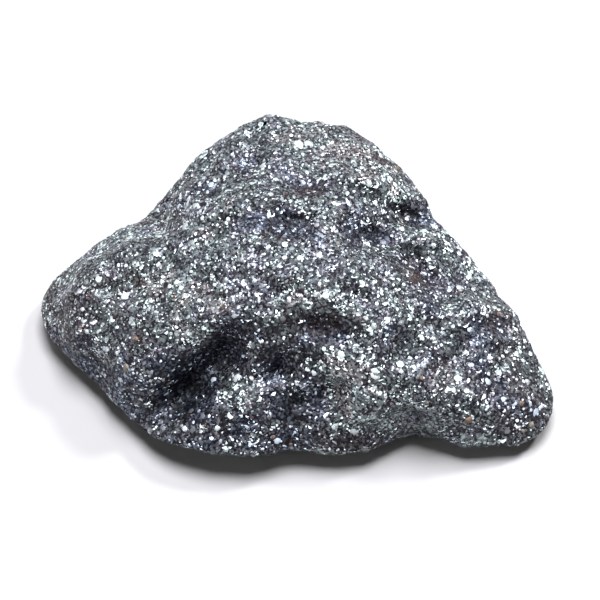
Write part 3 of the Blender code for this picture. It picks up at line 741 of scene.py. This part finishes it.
def flake_layout(count):
    """The bake's map: a square cell for each flake, its top on the left and its sides, as a fan,
    on the right."""
    cells = math.ceil(math.sqrt(count))
    cell = np.stack(np.divmod(np.arange(count), cells), -1)[:, None]
    angle = 2 * math.pi * np.arange(FLAKE_SIDES) / FLAKE_SIDES
    ring = np.stack([np.cos(angle), np.sin(angle)], -1) * CELL_RADIUS
    left, right = (cell + CELL_TOP) / cells, (cell + CELL_UNDER) / cells
    top, under = left + ring / cells, right + ring / cells
    tops = np.stack([top, np.roll(top, -1, 1), np.broadcast_to(left, top.shape)], 2)
    unders = np.stack([np.roll(under, -1, 1), under, np.broadcast_to(right, under.shape)], 2)
    return np.vstack([tops.reshape(-1, 2), unders.reshape(-1, 2)])


def grain_points(centre, up, radius, random):
    """A rough low lump: a ball on a grid of turns and tilts, flattened along up, with its
    radius varied by a random amount at each point."""
    tilt = np.linspace(0, math.pi, GRAIN_ROWS + 2)[1:-1, None]
    turn = 2 * math.pi * np.arange(GRAIN_COLUMNS)[None] / GRAIN_COLUMNS
    x, y, z = np.sin(tilt) * np.cos(turn), np.sin(tilt) * np.sin(turn), np.cos(tilt) + 0 * turn
    ball = np.vstack([np.stack([x, y, z], -1).reshape(-1, 3), (0, 0, 1), (0, 0, -1)])
    ball *= random.uniform(1 - GRAIN_ROUGH, 1 + GRAIN_ROUGH, (len(ball), 1))
    ball *= random.uniform(GRAIN_LEAST, GRAIN_MOST)
    aside = unit(np.cross(up, unit(random.normal(0, 1, 3))))
    return centre + ball * radius @ np.stack([aside, np.cross(up, aside), up])


def grain_faces():
    """Squares round the ball and triangles to its two poles."""
    number = np.arange(GRAIN_ROWS * GRAIN_COLUMNS).reshape(GRAIN_ROWS, GRAIN_COLUMNS)
    after = np.roll(number, -1, 1)
    squares = np.stack([number[:-1], number[1:], after[1:], after[:-1]], -1).reshape(-1, 4)
    top = np.full(GRAIN_COLUMNS, number.size)
    caps = np.stack([number[0], after[0], top], -1), np.stack([after[-1], number[-1], top + 1], -1)
    return squares, np.vstack(caps)


# ---- finishes ----

def give(socket, value):
    """Feeds a socket with another node's output, or sets it to a plain value."""
    if isinstance(value, bpy.types.NodeSocket):
        socket.id_data.links.new(value, socket)
    else:
        socket.default_value = value


def node(tree, kind, inputs=(), **settings):
    """A new node with its settings, and its inputs given by name or number."""
    made = tree.nodes.new(kind)
    for name, value in settings.items():
        setattr(made, name, value)
    for name, value in dict(inputs).items():
        give(made.inputs[name], value)
    return made


def vectors(tree, operation, first, second=(0, 0, 0)):
    """A sum, difference, product or the like of two vectors or colours."""
    return node(tree, "ShaderNodeVectorMath", {0: first, 1: second}, operation=operation).outputs[0]


def mapped(tree, value, start, end, first, last):
    """first up to a value of start, last from a value of end on, and even between them."""
    inputs = {"Value": value, "From Min": start, "From Max": end, "To Min": first, "To Max": last}
    return node(tree, "ShaderNodeMapRange", inputs).outputs["Result"]


def stored(tree, name, output="Fac"):
    """What the mesh keeps at each point under this name."""
    return node(tree, "ShaderNodeAttribute", attribute_name=name).outputs[output]


def noise(tree, **inputs):
    """Smooth noise from 0 to 1 that stays with the object."""
    place = node(tree, "ShaderNodeTexCoord").outputs["Object"]
    return node(tree, "ShaderNodeTexNoise", {"Vector": place, **inputs}).outputs["Fac"]


def mix_colour(tree, share, first, second):
    """first and second blended by share."""
    return node(tree, "ShaderNodeMix", {0: share, 6: first, 7: second}, data_type="RGBA").outputs[2]


def ramp(tree, share, stops):
    """A colour read off a ramp of (place, colour) stops."""
    made = node(tree, "ShaderNodeValToRGB", {"Fac": share})
    for number, (place, colour) in enumerate(stops):
        stop = made.color_ramp.elements[number] if number < 2 else made.color_ramp.elements.new(place)
        stop.position, stop.color = place, (*colour, 1)
    return made.outputs["Color"]


def group(name, label, kind, value):
    """A node group from one value to a colour, still empty: its tree, what it is given and the
    socket that its colour goes to."""
    tree = bpy.data.node_groups.new(name, "ShaderNodeTree")
    given = tree.interface.new_socket(label, in_out="INPUT", socket_type="NodeSocket" + kind)
    given.default_value = value
    tree.interface.new_socket("Colour", in_out="OUTPUT", socket_type="NodeSocketColor")
    start, end = tree.nodes.new("NodeGroupInput"), tree.nodes.new("NodeGroupOutput")
    return tree, start.outputs[0], end.inputs[0]


def use_group(tree, shared, **inputs):
    """The colour that a shared group puts out, placed in a material."""
    return node(tree, "ShaderNodeGroup", inputs, node_tree=shared).outputs["Colour"]


def rust_group():
    """Iron staining: the stored rust, broken up by noise, lays a brown over a colour."""
    tree, colour, end = group("iron_stain", "Colour", "Color", (0.1, 0.1, 0.1, 1))
    breaks = mapped(tree, noise(tree, Scale=RUST_BREAKUP, Detail=2.0), *RUST_BREAKS, 0.0, 1.0)
    inputs = {0: stored(tree, "rust"), 1: breaks}
    laid = node(tree, "ShaderNodeMath", inputs, operation="MULTIPLY")
    give(end, mix_colour(tree, laid.outputs[0], colour, (*RUST_COLOUR, 1)))
    return tree


def drift_group():
    """Slow drifts of hue over the stone, as a colour to multiply by: navy, purplish and greenish
    grey to brown by a noise, further along that way in painted light and back towards navy in
    painted shade."""
    tree, strength, end = group("hue_drift", "Strength", "Float", 1.0)
    drift = noise(tree, Scale=DRIFT_SCALE, Detail=3.0, Roughness=0.6)
    inputs = {0: stored(tree, "painted_lighting"), 1: DRIFT_PAINTED_LIGHTING, 2: drift}
    leaning = node(tree, "ShaderNodeMath", inputs, operation="MULTIPLY_ADD").outputs[0]
    hue = ramp(tree, leaning, DRIFT_COLOURS)
    give(end, mix_colour(tree, strength, (1, 1, 1, 1), hue))
    return tree


def material(name, **values):
    """A new material: its tree and its Principled shader's inputs, with these uniform values."""
    made = bpy.data.materials.new(name)
    made.use_nodes = True
    inputs = made.node_tree.nodes["Principled BSDF"].inputs
    for label, value in values.items():
        inputs[label].default_value = value
    return made, made.node_tree, inputs


def crystal_faces(tree):
    """Crystal faces too fine to model: each cell of a Voronoi net tilts the surface's normal its
    own way, and has its own value from 0 to 1."""
    place = node(tree, "ShaderNodeTexCoord").outputs["Object"]
    net = node(tree, "ShaderNodeTexVoronoi", {"Vector": place, "Scale": MASS_FINENESS})
    cell = net.outputs["Color"]
    swing = vectors(tree, "SUBTRACT", cell, (0.5, 0.5, 0.5))
    swing = vectors(tree, "MULTIPLY", swing, (MASS_TILT, MASS_TILT, MASS_TILT))
    slope = node(tree, "ShaderNodeNewGeometry").outputs["Normal"]
    normal = vectors(tree, "NORMALIZE", vectors(tree, "ADD", slope, swing))
    return normal, node(tree, "ShaderNodeTexWhiteNoise", {"Vector": cell}).outputs["Value"]


def matrix_finish(stain, drift):
    """The dark mass between the flakes: fine crystal faces from near black to blue-grey, with
    painted shade and light: darker in painted shade and lighter in painted light."""
    made, tree, shader = material("hematite_mass", Metallic=MASS_METAL)
    normal, shade = crystal_faces(tree)
    colour = vectors(tree, "MULTIPLY", ramp(tree, shade, MASS_COLOURS), use_group(tree, drift))
    # painted light and shade: the stored painted lighting makes the mass's colour darker or lighter
    light = mapped(tree, stored(tree, "painted_lighting"), -1.0, 1.0, PAINTED_SHADE_LEVEL, PAINTED_LIGHT_LEVEL)
    lit = vectors(tree, "MULTIPLY", colour, light)
    give(shader["Base Color"], use_group(tree, stain, Colour=lit))
    give(shader["Normal"], normal)
    give(shader["Roughness"], mapped(tree, shade, *MASS_POLISH))
    return made


def flake_finish(stain, drift):
    """Bright hematite plates from dark steel to silver, tinted by the drift and stained by rust.
    The painted glints, of the shade 1, are bright matt silver standing in for glints."""
    made, tree, shader = material("hematite_flake")
    # shade carries painted light and shade, and the painted glints at 1
    shade = stored(tree, "shade")
    tint = use_group(tree, drift, Strength=FLAKE_DRIFT)
    colour = vectors(tree, "MULTIPLY", ramp(tree, shade, FLAKE_COLOURS), tint)
    give(shader["Base Color"], use_group(tree, stain, Colour=colour))
    give(shader["Roughness"], mapped(tree, shade, *FLAKE_POLISH))
    # painted glints: from SPARK_EDGE up, the brightest flakes turn matt
    give(shader["Metallic"], mapped(tree, shade, SPARK_EDGE, 1.0, 1.0, SPARK_METAL))
    crystal = {"Vector": stored(tree, "crystal", "Vector")}
    turn = {"vector_type": "NORMAL", "convert_from": "OBJECT", "convert_to": "WORLD"}
    turned = node(tree, "ShaderNodeVectorTransform", crystal, **turn)
    give(shader["Normal"], turned.outputs[0])
    return made


def grain_finish():
    """Tan, ochre and brown grains, matt, with a dark mottle."""
    made, tree, shader = material("iron_stained_grain", Roughness=GRAIN_DULL)
    colour = ramp(tree, stored(tree, "shade"), GRAIN_COLOURS)
    mottle = noise(tree, Scale=MOTTLE_SCALE, Detail=3.0)
    share = mapped(tree, mottle, MOTTLE_FROM, MOTTLE_TO, 0.0, MOTTLE_SHARE)
    give(shader["Base Color"], mix_colour(tree, share, colour, (*MOTTLE_COLOUR, 1)))
    return made


# ---- making the stone ----

def make_skin(finish):
    """The fine skin, standing for the CAD solid.  Returns its points and its triangles."""
    points = stone_points(CAP_CELLS, RINGS_ABOVE, RINGS_BELOW, fine=True)
    points = np.vstack([points, points[-4 * CAP_CELLS:].mean(0) * (1, 1, 0)])
    squares, foot = post_faces(CAP_CELLS, RINGS_ABOVE + RINGS_BELOW)
    triangles = short_split(points, squares)
    layout = skin_layout(CAP_CELLS, RINGS_ABOVE + RINGS_BELOW, triangles, foot, points)
    # painted light and shade at each point, for the mass's brightness and hue
    painted_lighting = painted_lighting_at(points, point_slopes(points, np.vstack([triangles, foot])))
    shades = [("rust", rust_at(points)), ("painted_lighting", painted_lighting)]
    skin = piece("stone_skin", points, (triangles, foot), finish, layout, True, shades)
    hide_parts(NODE)
    return points, triangles


def make_flakes(points, triangles, finish):
    """All the flakes, shared out in turn between FLAKE_PIECES pieces."""
    place, crystal, facing, radius, shade, painted_lighting, random = set_flakes(points, triangles)
    corners = flake_points(place, facing, radius, random)
    crystals = domed(corners, crystal, radius)
    shades_of = np.repeat(shade[:, None], FLAKE_SIDES + 2, 1)
    # painted glint falloff: each flake's rim darker than its middle
    shades_of[:, :FLAKE_SIDES] *= np.where(shade < 1, FLAKE_EDGE, SPARK_EDGE)[:, None]
    values = [("rust", rust_at(place)), ("painted_lighting", painted_lighting)]
    for number in range(FLAKE_PIECES):
        mine = slice(number, None, FLAKE_PIECES)
        plates = corners[mine]
        shades = [(label, np.repeat(each[mine], FLAKE_SIDES + 2)) for label, each in values]
        shades += [("shade", shades_of[mine].ravel()), ("crystal", crystals[mine].reshape(-1, 3))]
        faces, layout = flake_faces(len(plates)), flake_layout(len(plates))
        plates = plates.reshape(-1, 3)
        piece(f"flakes_{number + 1}", plates, faces, finish, layout, False, shades)


def make_grains(points, triangles, finish):
    """The odd grains: the ones in GRAINS, and more of every shade all round."""
    random = np.random.default_rng(GRAIN_SEED)
    middles, slopes = points[triangles].mean(1), unit(skin_slopes(points, triangles))
    nearest = [np.argmin(length(middles - spot)) for spot in grain_spots()]
    extra, up = skin_places(points, triangles, MORE_GRAINS, random)
    clear = extra[:, 2] > FLAKE_CLEAR
    place = np.vstack([middles[nearest], extra[clear]])
    up = np.vstack([slopes[nearest], up[clear]])
    *_, radii, shades, _ = np.array(GRAINS).T
    radius = np.append(radii, random.uniform(*MORE_RADII, clear.sum()))
    shade = np.append(shades, random.random(clear.sum()))
    lumps = [grain_points(*each, random) for each in zip(place, up, radius)]
    size = len(lumps[0])
    start = np.arange(len(lumps))[:, None, None] * size
    faces = [(start + each).reshape(-1, each.shape[1]) for each in grain_faces()]
    shades = [("shade", np.repeat(shade, size))]
    piece("odd_grains", np.vstack(lumps), faces, finish, None, True, shades)


stain, drift = rust_group(), drift_group()
skin_points, skin_triangles = make_skin(matrix_finish(stain, drift))
make_flakes(skin_points, skin_triangles, flake_finish(stain, drift))
make_grains(skin_points, skin_triangles, grain_finish())


# ---- floor, light and camera ----

def make_floor():
    """A wide pale floor under the stone."""
    mesh = bpy.data.meshes.new("floor")
    corners = [(x * FLOOR_HALF, y * FLOOR_HALF, 0) for x, y in ((-1, -1), (1, -1), (1, 1), (-1, 1))]
    mesh.from_pydata(corners, [], [(0, 1, 2, 3)])
    finish = {"Roughness": FLOOR_DULL, "Base Color": (*FLOOR_COLOUR, 1)}
    mesh.materials.append(material("pale_floor", **finish)[0])
    in_scene("floor", mesh)


def make_sun(name, bearing, height, width, strength, colour):
    """A soft light from far off, in degrees: its bearing, anticlockwise from +X, its height
    above the table, and the width that it spans."""
    sun = bpy.data.lights.new(name, "SUN")
    sun.energy, sun.angle, sun.color = strength, math.radians(width), colour
    made = in_scene(name, sun)
    a, e = math.radians(bearing), math.radians(height)
    towards = Vector((math.cos(a) * math.cos(e), math.sin(a) * math.cos(e), math.sin(e)))
    made.rotation_euler = towards.to_track_quat("Z", "Y").to_euler()


def make_world():
    """A dim room that the flakes mirror, behind a white backdrop."""
    world = bpy.data.worlds.new("room")
    world.use_nodes = True
    tree = world.node_tree
    tree.nodes.clear()
    sight = node(tree, "ShaderNodeLightPath").outputs["Is Camera Ray"]
    room = node(tree, "ShaderNodeBackground", {"Color": (*ROOM_COLOUR, 1), "Strength": ROOM_STRENGTH})
    backdrop = node(tree, "ShaderNodeBackground", {"Color": (1, 1, 1, 1)})
    either = node(tree, "ShaderNodeMixShader", {0: sight, 1: room.outputs[0], 2: backdrop.outputs[0]})
    node(tree, "ShaderNodeOutputWorld", {"Surface": either.outputs[0]})
    bpy.context.scene.world = world


def make_camera():
    """A long lens SIGHT_ELEVATION above the table, PICTURE_WIDTH wide at the stone's middle."""
    camera = bpy.data.cameras.new("camera")
    camera.lens = camera.sensor_width * CAMERA_DISTANCE / PICTURE_WIDTH
    camera.clip_start, camera.clip_end = 0.01, 20.0
    made = in_scene("camera", camera)
    aim = from_plane(np.array(PICTURE_CENTRE), AIM_HEIGHT) - CENTRE
    made.location = (aim + TO_EYE * CAMERA_DISTANCE) * MM
    made.rotation_euler = (math.pi / 2 - math.radians(SIGHT_ELEVATION), 0.0, 0.0)
    bpy.context.scene.camera = made


make_floor()
for light in LIGHTS:
    make_sun(*light)
make_world()
make_camera()
bpy.context.scene.view_settings.view_transform = "Standard"
